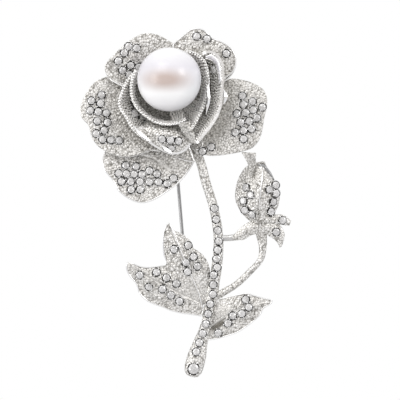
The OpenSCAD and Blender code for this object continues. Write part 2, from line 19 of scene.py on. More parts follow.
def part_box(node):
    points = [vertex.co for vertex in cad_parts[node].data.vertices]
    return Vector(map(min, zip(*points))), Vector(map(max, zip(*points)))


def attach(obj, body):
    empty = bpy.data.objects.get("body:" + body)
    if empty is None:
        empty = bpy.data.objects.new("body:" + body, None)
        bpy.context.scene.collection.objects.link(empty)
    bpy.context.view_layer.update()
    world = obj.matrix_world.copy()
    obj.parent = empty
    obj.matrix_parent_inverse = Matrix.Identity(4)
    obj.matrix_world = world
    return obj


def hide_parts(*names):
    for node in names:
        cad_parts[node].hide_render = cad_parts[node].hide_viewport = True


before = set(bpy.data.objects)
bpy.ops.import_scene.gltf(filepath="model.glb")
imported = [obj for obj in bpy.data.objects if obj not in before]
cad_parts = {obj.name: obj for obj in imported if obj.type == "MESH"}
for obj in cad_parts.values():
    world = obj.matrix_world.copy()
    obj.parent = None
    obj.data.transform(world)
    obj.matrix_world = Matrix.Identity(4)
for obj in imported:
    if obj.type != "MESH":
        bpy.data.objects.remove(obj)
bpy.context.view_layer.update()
MM = 0.001

# ---- Sizes, in millimetres unless a name says otherwise ----

GRAIN_CELL = 0.46          # width of one grain of the cast surface
GRAIN_DEPTH = 0.1          # how deep the lines between grains are
CUP_DEPTH = 0.12           # the same in the cup, whose steep walls need it to catch the light
LINE_WIDTH = 0.4           # how wide those lines are, in grain widths
BACK_GRAIN = 0.3           # share of the grain left on the back, where the mould was smooth
RAY_DEPTH = 0.08           # how deep the fine lines are that run out from the flower
RAY_PAINTED_SHADE = 0.75            # and how dark the painted shade in them is, from 0 to 1
FINE_VOXEL = 0.13          # edge length of the remeshed cast surface
CUP_VOXEL = 0.1            # the same in the cup
SHARP_DEGREES = 50         # an edge sharper than this stays an edge when the shape is smoothed
EDGE_CREASE = 0.75         # how firmly it is held
STONE_R = 0.66             # girdle of a small stone
CAD_STONE_R = 0.675        # girdle of the CAD's small stone
SOCKET_R = 0.78            # the seat round it
CLAW_R = 0.13
BEAD_PITCH = 0.52          # milgrain beads along a rim
BEAD_R = 0.21
WALL_BEAD_R = 0.23         # beads on the cup's walls
WALL_BEAD_GAP = 0.47
RIM_R = 0.15               # smooth wire round an outer petal
LEAF_RIM_R = 0.13
CUP_RIM_R = 0.34           # polished edge of a cup petal
WIRE_ENDS = 0.35           # an open wire's ends, as a share of its radius

# A stone whose axis has less than STEEP_BELOW of its length towards the front sits on a steep wall. It leaves
# its CAD place: it turns to the front by STEEP_TURN and comes forwards by STEEP_SHIFT, both times the
# shortfall, and it comes no further than MOST_SHIFT.
STEEP_BELOW = 0.75
STEEP_TURN = 10.0
STEEP_SHIFT = 3.0
MOST_SHIFT = 0.6

OUTER = ["petal_outer_right", "petal_outer_upper_right", "petal_outer_upper_left", "petal_outer_left",
         "petal_outer_bottom"]
CUP = ["petal_middle_left", "petal_middle_front", "petal_middle_right", "petal_inner_left",
       "petal_inner_right"]
LEAVES = ["leaf_left", "leaf_right"]
BUD = ["bud_petal_left", "bud_petal_right", "bud_petal_back", "bud_strip", "sepal_left", "sepal_upper_right",
       "sepal_lower_right"]
RODS = ["stem", "bud_branch"]

# Grooves and places of painted shade in a cast piece's front: a line as [x, z] points, its half width, how
# deep it is sunk and how dark its painted shade is
# a row that sinks nothing is painted shade alone
GROOVES_AND_PAINTED_SHADE = {
    "leaf_left": [([(4, -20), (1.6, -18.4)], 2, 0, 0.42),
                  ([(5, -21), (2.6, -16.5), (0.2, -11.8), (-1.4, -8)], 0.2, 0.16, 0.7),
                  ([(4.8, -21.6), (0.5, -19.6), (-4.6, -17), (-8.6, -14.8)], 0.2, 0.16, 0.7),
                  ([(3.4, -18.2), (2.6, -15.2), (2.4, -13)], 0.15, 0.1, 0.5),
                  ([(1.6, -20.2), (-1.8, -20), (-4.6, -19.6)], 0.15, 0.1, 0.5)],
    "leaf_right": [([(6, -26), (7.4, -25), (8.7, -24.2)], 0.3, 0.1, 0.95),
                   ([(6.6, -24), (9.4, -22.6)], 1.3, 0, 0.5),
                   ([(9.1, -23.7), (12.4, -22), (16.4, -20.9)], 0.2, 0.12, 0.6),
                   ([(8.2, -25.4), (9.4, -26.2)], 0.4, 0.1, 0.6),
                   ([(6.6, -26), (8.1, -25)], 0.8, 0, 1.1)],
    "bud_strip": [([(13.2, 6), (13.6, 2)], 1.5, 0, 0.55)],
    "bud_petal_left": [([(14.2, 3.4), (14, 1)], 1.2, 0, 0.55)],
    "bud_petal_right": [([(16, 3), (16.2, 1.5)], 1.0, 0, 0.5)],
    "sepal_left": [([(14, -7.4), (10.6, -9.2)], 0.5, 0, 0.4)],
    "petal_outer_right": [([(9.6, 19), (9.2, 13), (6, 8.6)], 2.4, 0, 0.5),
                          ([(14, 20), (14.5, 12)], 5, 0, 0.42)],
    "cup_fold": [([(1, 12), (2.6, 8.6)], 1.6, 0, 0.5)],
    "petal_outer_bottom": [([(-8, 6.4), (-4.6, 5.6), (-1.6, 3.4)], 0.2, 0.1, 0.45),
                           ([(-5, 5.4), (-1.4, 4)], 1.1, 0, 0.55)],
}
# Fine lines in its front that run out from a centre: [x, z], how many to a radian, and the radii between
# which they fade
RAYS = {
    "petal_outer_left": [((-1.5, 17.6), 95, 9.5, 14.5)],
    "petal_outer_right": [((-1.5, 17.6), 95, 9.5, 13)],
    "petal_outer_bottom": [((-1.5, 17.6), 80, 11, 16)],
    "petal_outer_upper_left": [((-1.5, 17.6), 90, 8, 10)],
    "petal_outer_upper_right": [((-1.5, 17.6), 90, 8, 10)],
    "leaf_left": [((4.9, -22), 60, 9, 18)],
    "leaf_right": [((5.4, -24.8), 50, 7, 16)],
    "petal_inner_right": [((-1.5, 19), 70, 7, 12)],
    "cup_fold": [((-1.5, 19), 60, 12, 14)],
}
# Cup petals with beads on their inner faces, and how far down from the rim
BEADED = {"petal_inner_left": 2.2, "petal_inner_right": 3.6, "petal_middle_right": 3.8,
          "petal_middle_left": 3.8}
FLOWER = (-1.5, 17.6)      # the flower's middle as [x, z]
# Sheet that closes the cup under the pearl: left edge, right edge and how far it swells forwards
FOLDS = [([(-0.2, -12.2, 12.1), (0.6, -12, 10.6), (1.6, -11.6, 9.3), (2.2, -11.2, 8.3)],
          [(2.2, -12.3, 12.6), (2.6, -12.2, 11.2), (3.2, -12.2, 9.8), (3.3, -12, 8.3)], 0.3)]
# Polished slivers on the cup: points and radius
GLEAMS = [([(5.1, -12.1, 13.7), (5.6, -12.2, 16.4), (5.5, -11.9, 19.2)], 0.36),
          ([(8.35, -11.6, 18.4), (8.8, -11.8, 17), (8.4, -12, 15.6)], 0.42),
          ([(-8.4, -12.5, 11.7), (-7.3, -12.6, 10.2), (-5.4, -12.4, 8.9)], 0.34),
          ([(-3.3, -12.1, 8.2), (-2.5, -12.1, 7.2), (-1.2, -12, 6.6)], 0.4)]
# Polished band inside the cup's right rim: inner edge, outer edge and how far it swells
BANDS = [([(4.9, -10, 23.9), (5.8, -10.3, 23.8), (6.7, -10.6, 23), (7.1, -10.9, 21.5), (7.3, -11.2, 19)],
          [(5, -10.7, 24.6), (6.2, -11.2, 25), (7.4, -11.6, 24.1), (7.9, -11.8, 22.5), (8, -12.1, 20)], 0.2)]
# Wires laid over the cast: the nodes they may lie on, [x, z] points, radius and material
LAID_WIRES = {
    "bud_seam": (("bud_petal_left", "bud_petal_right", "bud_strip"),
                 [(15.7, 3.8), (15.4, 1), (15.1, -1.4), (14.9, -3.8)], 0.16, "polished"),
    "bud_hood": (("bud_petal_left", "bud_petal_right", "bud_petal_back", "bud_strip"),
                 [(14.7, 4.4), (15.8, 4.2), (16.8, 3), (17.8, 1.5)], 0.34, "steel"),
    "fold_wire": (("petal_outer_bottom", "petal_outer_right", "stem"),
                  [(-0.6, 5.9), (0.6, 5.5), (1.8, 5.1), (3, 5.1)], 0.2, "polished"),
    "fold_curl": (("petal_outer_right", "petal_middle_front", "petal_outer_bottom", "stem"),
                  [(2.2, 8), (2.9, 7.2), (4, 7.3), (4.6, 8.2), (4.2, 8.9)], 0.2, "polished"),
}
# Places worked smooth: [x, z], radius and how much grain is left
SATIN = {"leaf_left": [((3, -18), 3.4, 0.8)], "leaf_right": [((8, -22.3), 2.2, 0.8)]}

# Soft square lights: place, side and watts
LIGHTS = {"key": ((-0.35, -0.5, 0.6), 0.5, 1.35), "rim": ((0.55, -0.45, 0.35), 0.3, 1.3),
          "fill": ((-0.7, -0.5, 0.05), 0.4, 1.5)}

# ---- Camera: level, square on to the flower, from far enough that depth changes no size ----

CAMERA_AT = (4.01 * MM, -1.507, -2.14 * MM)
FRAME_WIDTH = 74.4 * MM
LENS_DISTANCE = 1.5
SENSOR = 36.0


def make_camera():
    data = bpy.data.cameras.new("camera")
    data.sensor_width = SENSOR
    data.lens = SENSOR * LENS_DISTANCE / FRAME_WIDTH
    data.clip_start, data.clip_end = 0.1, 20
    camera = bpy.data.objects.new("camera", data)
    camera.location = CAMERA_AT
    camera.rotation_euler = (math.pi / 2, 0, 0)
    bpy.context.scene.collection.objects.link(camera)
    bpy.context.scene.camera = camera


# ---- Materials ----


class Nodes:
    """A material's node tree, with short calls to add to it."""

    def __init__(self, name):
        self.material = bpy.data.materials.new(name)
        self.material.use_nodes = True
        self.tree = self.material.node_tree
        self.shader = self.tree.nodes["Principled BSDF"]

    def add(self, kind, inputs=None, **settings):
        node = self.tree.nodes.new(kind)
        for key, value in settings.items():
            setattr(node, key, value)
        for key, value in (inputs or {}).items():
            self.put(value, node.inputs[key])
        return node

    def put(self, value, socket):
        if isinstance(value, bpy.types.NodeSocket):
            self.tree.links.new(value, socket)
        else:
            socket.default_value = value

    def set(self, **inputs):
        for key, value in inputs.items():
            self.put(value, self.shader.inputs[key.replace("_", " ")])
        return self

    def ramp(self, factor, stops):
        """A colour ramp through (place, colour) stops."""
        node = self.add("ShaderNodeValToRGB", {"Fac": factor})
        fill_ramp(node.color_ramp, stops)
        return node.outputs["Color"]

    def noise(self, scale, detail=3.0):
        place = self.add("ShaderNodeTexCoord").outputs["Object"]
        node = self.add("ShaderNodeTexNoise",
                        {"Vector": place, "Scale": scale, "Detail": detail, "Roughness": 0.5})
        return node.outputs["Fac"]

    def bump(self, height, distance, strength=1.0):
        node = self.add("ShaderNodeBump", {"Height": height, "Distance": distance, "Strength": strength})
        return node.outputs["Normal"]


def grey(level, warmth=0.0):
    """A grey, drawn towards brown by its warmth."""
    return (level * (1 + warmth), level, level * (1 - 2 * warmth))


def cast_metal():
    """Plated cast metal: bright on the grains, and dark where painted shade lies: in the lines between them,
    in grooves and over shaded places.
    """
    m = Nodes("cast_metal")
    painted_shade = m.add("ShaderNodeAttribute", attribute_name="painted_shade").outputs["Fac"]
    patch = m.noise(900.0, 2.0)
    colour = m.ramp(painted_shade, [(0.0, grey(0.98, 0.01)), (0.4, grey(0.83, 0.016)), (1.0, grey(0.17, 0.06))])
    cloud = m.ramp(patch, [(0.3, grey(0.93, 0.008)), (0.7, grey(1.0, 0.0))])
    both = m.add("ShaderNodeMix", data_type="RGBA", blend_type="MULTIPLY")
    m.put(1.0, both.inputs["Factor"])
    m.put(colour, both.inputs["A"])
    m.put(cloud, both.inputs["B"])
    rough = m.add("ShaderNodeMapRange", {"Value": m.noise(2600.0), "To Min": 0.34, "To Max": 0.56})
    m.set(Base_Color=both.outputs["Result"], Roughness=rough.outputs["Result"], Metallic=0.85,
          Normal=m.bump(m.noise(6000.0, 2.0), 0.00006, 0.5))
    return m.material


def polished_metal():
    m = Nodes("polished_metal")
    tone = m.ramp(m.noise(500.0), [(0.3, grey(0.92, 0.006)), (0.7, grey(0.98, 0.004))])
    rough = m.add("ShaderNodeMapRange", {"Value": m.noise(1500.0), "To Min": 0.1, "To Max": 0.24})
    m.set(Base_Color=tone, Roughness=rough.outputs["Result"], Metallic=1.0,
          Normal=m.bump(m.noise(2500.0, 2.0), 0.00003, 0.3))
    return m.material


def satin_metal():
    """Plated metal left as it came from a smooth mould."""
    m = Nodes("satin_metal")
    tone = m.ramp(m.noise(300.0), [(0.3, grey(0.62, 0.01)), (0.7, grey(0.74, 0.01))])
    rough = m.add("ShaderNodeMapRange", {"Value": m.noise(1800.0), "To Min": 0.3, "To Max": 0.45})
    m.set(Base_Color=tone, Roughness=rough.outputs["Result"], Metallic=1.0,
          Normal=m.bump(m.noise(1400.0, 3.0), 0.00008, 0.5))
    return m.material


def pin_steel():
    """Drawn wire: fine scratches along its length."""
    m = Nodes("pin_steel")
    place = m.add("ShaderNodeTexCoord").outputs["Object"]
    along = m.add("ShaderNodeMapping", {"Vector": place, "Scale": (1.0, 1.0, 0.02)}).outputs["Vector"]
    lines = m.add("ShaderNodeTexNoise", {"Vector": along, "Scale": 22000.0, "Detail": 2.0}).outputs["Fac"]
    tone = m.ramp(lines, [(0.3, grey(0.3, 0.0)), (0.7, grey(0.46, 0.0))])
    rough = m.add("ShaderNodeMapRange", {"Value": lines, "To Min": 0.2, "To Max": 0.4})
    m.set(Base_Color=tone, Roughness=rough.outputs["Result"], Metallic=1.0,
          Normal=m.bump(lines, 0.00001, 0.4))
    return m.material


def shadow_painted_seat():
    """The recess under a stone, painted dark as shade, mottled at random."""
    m = Nodes("shadow_painted_seat")
    tone = m.ramp(m.noise(1100.0, 1.0),
                  [(0.42, grey(0.02, 0.05)), (0.54, grey(0.16, 0.03)), (0.66, grey(0.6, 0.01))])
    rough = m.add("ShaderNodeMapRange", {"Value": m.noise(4000.0), "To Min": 0.3, "To Max": 0.5})
    m.set(Base_Color=tone, Roughness=rough.outputs["Result"], Metallic=0.9)
    return m.material


def crystal():
    """The crown of a stone: glass so bright with its own reflections that it looks half white."""
    m = Nodes("crystal")
    tint = m.ramp(m.noise(1500.0, 1.0), [(0.38, (0.7, 0.69, 0.68)), (0.56, (1.0, 0.99, 0.98))])
    m.set(Base_Color=tint, Roughness=0.03, IOR=1.7, Transmission_Weight=0.45, Coat_Weight=1.0, Coat_IOR=1.9,
          Coat_Roughness=0.02)
    return m.material


def foil():
    """The mirror behind a stone: it sends the light back through the crown."""
    m = Nodes("foil")
    tone = m.ramp(m.noise(900.0), [(0.3, (0.97, 0.97, 0.98)), (0.7, (1.0, 1.0, 1.0))])
    m.set(Base_Color=tone, Roughness=0.12, Metallic=1.0)
    return m.material


def pearl_nacre():
    """Nacre under a soft gloss, its colour painted with reflections and shade: bands by height, a rose band
    across its face, and shade to the lower right.
    """
    m = Nodes("pearl_nacre")
    place = m.add("ShaderNodeTexCoord").outputs["Object"]
    low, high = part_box("pearl")
    middle, r = (low + high) / 2, (high.z - low.z) / 2
    away = m.add("ShaderNodeVectorMath", {0: place, 1: middle}, operation="SUBTRACT").outputs["Vector"]
    unit = m.add("ShaderNodeVectorMath", {0: away, "Scale": 1 / r}, operation="SCALE").outputs["Vector"]
    axes = m.add("ShaderNodeSeparateXYZ", {"Vector": unit}).outputs
    # painted reflection and shade in bands by height: darker at the bottom, white below the middle, blue-grey
    # and then a darker lavender band above, lighter grey at the top; noise makes the band edges waver
    drift = m.add("ShaderNodeMath", {0: m.noise(160.0, 2.0), 1: 0.2}, operation="MULTIPLY").outputs["Value"]
    height = m.add("ShaderNodeMath", {0: axes["Z"], 1: drift}, operation="ADD").outputs["Value"]
    span = m.add("ShaderNodeMapRange", {"Value": height, "From Min": -0.9, "From Max": 1.1}).outputs["Result"]
    body = m.ramp(span, [(0.0, (0.7, 0.69, 0.7)), (0.1, (0.92, 0.91, 0.92)), (0.28, (1.0, 1.0, 1.0)),
                         (0.5, (0.84, 0.84, 0.87)), (0.7, (0.72, 0.7, 0.74)), (0.84, (0.78, 0.77, 0.79)),
                         (1.0, (0.86, 0.86, 0.86))])
    # a rose band painted across the half that faces the front, as a dim reflection
    flat = m.add("ShaderNodeMapping",
                 {"Vector": unit, "Location": (0.12, 0.0, 0.05), "Scale": (0.95, 0.0, 2.3)})
    far = m.add("ShaderNodeVectorMath", {0: flat.outputs["Vector"]}, operation="LENGTH").outputs["Value"]
    patch = m.add("ShaderNodeMapRange",
                  {"Value": far, "From Min": 0.05, "From Max": 1.15, "To Min": 1.1, "To Max": 0.0},
                  interpolation_type="SMOOTHSTEP").outputs["Result"]
    front = m.add("ShaderNodeMapRange",
                  {"Value": axes["Y"], "From Min": 0.0, "From Max": -0.6}).outputs["Result"]
    share = m.add("ShaderNodeMath", {0: patch, 1: front}, operation="MULTIPLY").outputs["Value"]
    both = m.add("ShaderNodeMix", {"Factor": share}, data_type="RGBA")
    m.put(body, both.inputs["A"])
    m.put((0.54, 0.44, 0.4, 1), both.inputs["B"])
    # painted shade towards the lower right
    slope = m.add("ShaderNodeVectorMath", {0: unit, 1: (0.8, 0.0, -0.6)},
                  operation="DOT_PRODUCT").outputs["Value"]
    shade = m.ramp(slope, [(0.55, grey(1.0)), (1.0, grey(0.72, -0.01))])
    whole = m.add("ShaderNodeMix", {"Factor": 1.0}, data_type="RGBA", blend_type="MULTIPLY")
    m.put(both.outputs["Result"], whole.inputs["A"])
    m.put(shade, whole.inputs["B"])
    layers = m.add("ShaderNodeMapping", {"Vector": place, "Scale": (0.4, 0.4, 3.0)}).outputs["Vector"]
    fine = m.add("ShaderNodeTexNoise", {"Vector": layers, "Scale": 900.0, "Detail": 3.0}).outputs["Fac"]
    m.set(Base_Color=whole.outputs["Result"], Roughness=0.3, IOR=1.6, Coat_Weight=0.3, Coat_Roughness=0.25,
          Coat_IOR=1.5, Normal=m.bump(fine, 0.00002, 0.2))
    return m.material


def pale_floor():
    m = Nodes("pale_floor")
    tone = m.ramp(m.noise(2.0), [(0.3, grey(0.84, 0.0)), (0.7, grey(0.86, 0.0))])
    m.set(Base_Color=tone, Roughness=0.8)
    return m.material


# ---- Meshes ----


def in_mm(node):
    """The CAD node's mesh in millimetres, its faces joined up, as a bmesh."""
    bm = bmesh.new()
    bm.from_mesh(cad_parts[node].data)
    bmesh.ops.scale(bm, vec=Vector((1, 1, 1)) / MM, verts=bm.verts)
    bmesh.ops.remove_doubles(bm, verts=bm.verts, dist=0.0005)
    bmesh.ops.dissolve_degenerate(bm, edges=bm.edges, dist=0.0005)
    return bm


def to_mesh(bm, name="work"):
    mesh = bpy.data.meshes.new(name)
    bm.to_mesh(mesh)
    bm.free()
    return mesh


def evaluated(mesh, *modifiers):
    """The mesh that (kind, settings) modifiers make of this one."""
    work = bpy.data.objects.new("work", mesh)
    bpy.context.scene.collection.objects.link(work)
    for kind, settings in modifiers:
        modifier = work.modifiers.new(kind.lower(), kind)
        for key, value in settings.items():
            setattr(modifier, key, value)
    graph = bpy.context.evaluated_depsgraph_get()
    made = bpy.data.meshes.new_from_object(work.evaluated_get(graph), depsgraph=graph)
    bpy.data.objects.remove(work)
    bpy.data.meshes.remove(mesh)
    return made


def piece(name, mesh, materials, body="brooch", nodes=(), smooth=True):
    """Sets a mesh in millimetres down as a shown piece that rides on a body and stands for CAD nodes."""
    mesh.name = name
    co = coords(mesh) * MM
    mesh.vertices.foreach_set("co", co.astype(np.float32).ravel())
    if len(mesh.materials):  # clearing also forgets which face has which material
        mesh.materials.clear()
    for material in materials:
        mesh.materials.append(material)
    mesh.polygons.foreach_set("use_smooth", [smooth] * len(mesh.polygons))
    mesh.update()
    obj = bpy.data.objects.new(name, mesh)
    bpy.context.scene.collection.objects.link(obj)
    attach(obj, body)
    if nodes:
        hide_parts(*nodes)
    return obj


def coords(mesh):
    co = np.zeros(len(mesh.vertices) * 3)
    mesh.vertices.foreach_get("co", co)
    return co.reshape(-1, 3)


def normals(mesh):
    out = np.zeros(len(mesh.vertices) * 3)
    mesh.vertex_normals.foreach_get("vector", out)
    return out.reshape(-1, 3)


def hashed(cells, seed):
    """Three numbers from 0 to 1 for each whole-numbered cell, always the same ones."""
    x, y, z = (cells[..., k] for k in range(3))
    n = (x * 73856093) ^ (y * 19349663) ^ (z * 83492791) ^ (seed * 2654435)
    out = []
    for k in (1, 2, 3):
        h = (n * (2 * k + 1) + k * 374761393) & 0x7FFFFFFF
        h = ((h ^ (h >> 13)) * 1274126177) & 0x7FFFFFFF
        out.append(((h ^ (h >> 16)) & 0xFFFFFF) / 0xFFFFFF)
    return np.stack(out, -1)


def cells_at(points, size, seed):
    """For each point: how far the two nearest cell centres are, and the nearest one's offset and tilt."""
    p = points / size
    base = np.floor(p).astype(np.int64)
    first = np.full(len(p), 9.0)
    second = np.full(len(p), 9.0)
    off = np.zeros_like(p)
    tilt = np.zeros_like(p)
    for dx in (-1, 0, 1):
        for dy in (-1, 0, 1):
            for dz in (-1, 0, 1):
                cell = base + (dx, dy, dz)
                jitter = hashed(cell, seed)
                away = p - (cell + jitter)
                d = np.sqrt((away ** 2).sum(1))
                nearer = d < first
                second = np.where(nearer, first, np.minimum(second, d))
                first = np.where(nearer, d, first)
                off[nearer] = away[nearer]
                tilt[nearer] = jitter[nearer] - 0.5
    return first, second, off, tilt


def from_line(co, line):
    """How far each point is from a line, both as seen from the front."""
    p, line = co[:, [0, 2]], np.asarray(line, float)
    best = np.full(len(p), 99.0)
    for a, b in zip(line, line[1:]):
        share = np.clip((p - a) @ (b - a) / ((b - a) @ (b - a)), 0, 1)
        best = np.minimum(best, np.linalg.norm(p - a - share[:, None] * (b - a), axis=1))
    return best


def ray_lines(co, centre, count, near, far):
    """Fine lines that run out from a centre, full at radius near and gone at radius far, from 0 to 1."""
    x, z = co[:, 0] - centre[0], co[:, 2] - centre[1]
    r = np.hypot(x, z)
    wave = np.sin(count * np.arctan2(x, z) + 1.3 * np.sin(1.9 * r) + 0.9 * np.sin(0.7 * x + 2.3 * z))
    return np.clip(wave, 0, 1) * np.clip((far - r) / (far - near), 0, 1) * np.clip(r / near * 2 - 1, 0, 1)


def grained(mesh, node, seed, depth=GRAIN_DEPTH):
    """Sinks the lines between grains into a fine mesh, tilts each grain, and notes the painted shade at each
    point: in the lines, rays and creases and over shaded places.
    """
    co, no = coords(mesh), normals(mesh)
    first, second, off, tilt = cells_at(co, GRAIN_CELL, seed)
    # painted shade in the lines between grains; the same mask sets how deep they sink
    painted_shade = np.clip(1 - (second - first) / LINE_WIDTH, 0, 1) ** 1.2
    lean = (off * tilt).sum(1)
    share = np.ones(len(co))
    for centre, radius, least in SATIN.get(node, ()):
        away = np.hypot(co[:, 0] - centre[0], co[:, 2] - centre[1]) / radius
        share *= least + (1 - least) * np.clip(1.6 * away - 0.6, 0, 1)
    share *= np.where(no[:, 1] > 0.2, BACK_GRAIN, 1)
    sink = depth * share * (0.75 * painted_shade + 0.9 * np.clip(lean + 0.25, 0, 0.6))
    # faces turned back get an even darker tone with fainter lines; elsewhere the painted shade fades where
    # the grain is worked smooth
    painted_shade = np.where(no[:, 1] > 0.2, 0.4 + 0.3 * painted_shade, painted_shade * share)
    front = no[:, 1] < 0
    for centre, count, near, far in RAYS.get(node, ()):
        lines = ray_lines(co, centre, count, near, far) * front
        sink += RAY_DEPTH * lines
        # painted shade in the ray lines
        painted_shade = np.maximum(painted_shade, RAY_PAINTED_SHADE * lines)
    for line, width, deep, dark in GROOVES_AND_PAINTED_SHADE.get(node, ()):
        close = np.exp(-(from_line(co, line) / width) ** 2) * front
        sink += deep * close
        # painted shade along each crease, and over each shaded place that sinks nothing
        painted_shade = np.maximum(painted_shade * (1 - 0.6 * close * (deep > 0)), dark * close)
    co -= no * sink[:, None]
    mesh.vertices.foreach_set("co", co.astype(np.float32).ravel())
    attribute = mesh.attributes.new("painted_shade", "FLOAT", "POINT")
    attribute.data.foreach_set("value", painted_shade.astype(np.float32))
    mesh.update()
    return mesh


def sharp_edges(bm, degrees):
    limit = math.radians(degrees)
    return [e for e in bm.edges if len(e.link_faces) == 2 and e.calc_face_angle(0) > limit]


def smoothed(node, voxel=FINE_VOXEL):
    """The node's shape with its facets smoothed out, as one even fine mesh."""
    bm = in_mm(node)
    bmesh.ops.join_triangles(bm, faces=bm.faces, angle_face_threshold=math.radians(SHARP_DEGREES),
                             angle_shape_threshold=math.radians(60))
    layer = bm.edges.layers.float.new("crease_edge")
    for e in sharp_edges(bm, SHARP_DEGREES):
        e[layer] = EDGE_CREASE
    return evaluated(to_mesh(bm), ("SUBSURF", {"levels": 2, "render_levels": 2}),
                     ("REMESH", {"mode": "VOXEL", "voxel_size": voxel, "use_smooth_shade": True}))


def outline_loops(node):
    """The closed loops of sharp edges round a plate, its front and back outlines, as arrays of points."""
    bm = in_mm(node)
    links = {}
    for e in sharp_edges(bm, 48):
        a, b = e.verts[0].index, e.verts[1].index
        links.setdefault(a, set()).add(b)
        links.setdefault(b, set()).add(a)
    bm.verts.ensure_lookup_table()
    place = {i: np.array(bm.verts[i].co) for i in links}
    for a in list(links):
        for b in list(links[a]):
            if len(links[a]) > 2 and len(links[b]) > 2 and np.linalg.norm(place[a] - place[b]) < 1.2:
                links[a].discard(b)
                links[b].discard(a)
    bm.free()
    loops, left = [], set(links)
    while left:
        start = min(left)
        loop, at, came = [], start, None
        while at in left:
            left.discard(at)
            loop.append(place[at])
            onward = sorted(n for n in links[at] if n != came and n in left)
            if not onward:
                break
            came, at = at, onward[0]
        if len(loop) > 12:
            loops.append(np.array(loop))
    return loops


def evenly(points, pitch, closed=True):
    """Points at an even pitch along a line through these ones."""
    p = np.vstack([points, points[:1]]) if closed else np.asarray(points, float)
    steps = np.linalg.norm(np.diff(p, axis=0), axis=1)
    s = np.concatenate([[0], np.cumsum(steps)])
    count = max(int(round(s[-1] / pitch)), 4)
    at = np.linspace(0, s[-1], count + (0 if closed else 1), endpoint=not closed)
    return np.stack([np.interp(at, s, p[:, k]) for k in range(3)], 1)


def rounded_line(points, passes=2, closed=True):
    """The line with its corners eased."""
    p = np.asarray(points, float)
    for _ in range(passes):
        q = (np.roll(p, 1, 0) + 2 * p + np.roll(p, -1, 0)) / 4
        if not closed:
            q[0], q[-1] = p[0], p[-1]
        p = q
    return p


def tube(bm, points, radius, sides=8, closed=False):
    """A round wire along the points; radius is one number or one for each point."""
    p = np.asarray(points, float)
    n = len(p)
    r = np.full(n, radius) if np.isscalar(radius) else np.asarray(radius, float)
    ahead = np.roll(p, -1, 0) - np.roll(p, 1, 0)
    if not closed:
        ahead[0], ahead[-1] = p[1] - p[0], p[-1] - p[-2]
    ahead /= np.linalg.norm(ahead, axis=1)[:, None] + 1e-12
    side = np.cross(ahead[0], (0.3, 0.9, 0.1))
    rings = []
    for k in range(n):
        side = side - ahead[k] * (side @ ahead[k])
        side /= np.linalg.norm(side) + 1e-12
        other = np.cross(ahead[k], side)
        ring = []
        for j in range(sides):
            a = 2 * math.pi * j / sides
            ring.append(bm.verts.new(p[k] + r[k] * (side * math.cos(a) + other * math.sin(a))))
        rings.append(ring)
    for k in range(n if closed else n - 1):
        a, b = rings[k], rings[(k + 1) % n]
        turn = 0
        if closed and k == n - 1:  # the last ring meets the first, which the frame may have turned away from
            turn = min(range(sides), key=lambda t: (a[0].co - b[t].co).length)
        for j in range(sides):
            bm.faces.new((a[j], a[(j + 1) % sides], b[(j + 1 + turn) % sides], b[(j + turn) % sides]))
    if not closed:
        bm.faces.new(rings[0][::-1])
        bm.faces.new(rings[-1])


def basis(axis):
    """Three unit vectors: two across the axis, and the axis."""
    z = np.asarray(axis, float) / np.linalg.norm(axis)
    x = np.cross(z, (0.0, 0.0, 1.0) if abs(z[2]) < 0.8 else (1.0, 0.0, 0.0))
    x /= np.linalg.norm(x)
    return x, np.cross(z, x), z


def bead(bm, centre, radius, axis=(0, -1, 0), squash=1.0, rings=4, sides=8):
    """A small ball, flattened along its axis by squash."""
    x, y, z = basis(axis)
    centre = np.asarray(centre, float)
    loops = []
    for i in range(1, rings):
        a = math.pi * i / rings
        loops.append([bm.verts.new(centre + radius * (math.sin(a) * (x * math.cos(t) + y * math.sin(t))
                                                      + squash * math.cos(a) * z))
                      for t in (2 * math.pi * j / sides for j in range(sides))])
    top = bm.verts.new(centre + z * radius * squash)
    foot = bm.verts.new(centre - z * radius * squash)
    faces = [(top, loops[0][j], loops[0][(j + 1) % sides]) for j in range(sides)]
    faces += [(foot, loops[-1][(j + 1) % sides], loops[-1][j]) for j in range(sides)]
    for a, b in zip(loops, loops[1:]):
        faces += [(a[j], b[j], b[(j + 1) % sides], a[(j + 1) % sides]) for j in range(sides)]
    for corners in faces:
        bm.faces.new(corners)


def lathe(bm, centre, axis, profile, sides, material):
    """A closed ring of quads for each step of a profile of (radius, height along the axis)."""
    x, y, z = basis(axis)
    centre = np.asarray(centre, float)
    loops = []
    for r, h in profile:
        loops.append([bm.verts.new(centre + h * z + r * (x * math.cos(a) + y * math.sin(a)))
                      for a in (2 * math.pi * j / sides for j in range(sides))])
    for a, b in zip(loops, loops[1:]):
        for j in range(sides):
            bm.faces.new((a[j], a[(j + 1) % sides], b[(j + 1) % sides], b[j])).material_index = material


# ---- Stones ----


def stone_places(node):
    """Where each plain CAD stone sits: the middle of its girdle, the way its table faces, and its radius."""
    bm = in_mm(node)
    left, places = set(bm.verts), []
    for start in list(bm.verts):
        if start not in left:
            continue
        group, queue = [], [start]
        left.discard(start)
        while queue:
            v = queue.pop()
            group.append(list(v.co))
            for e in v.link_edges:
                w = e.other_vert(v)
                if w in left:
                    left.discard(w)
                    queue.append(w)
        p = np.array(group)
        middle = p.mean(0)
        q = p - middle
        axis = np.linalg.eigh(q.T @ q)[1][:, 0]
        along = q @ axis
        if -along.min() < along.max():
            axis, along = -axis, -along
        out = np.linalg.norm(q - np.outer(along, axis), axis=1)
        widest = out > out.max() * 0.98
        places.append((middle + axis * along[widest].mean(), axis, out.max()))
    bm.free()
    return sorted(places, key=lambda place: tuple(np.round(place[0], 3)))


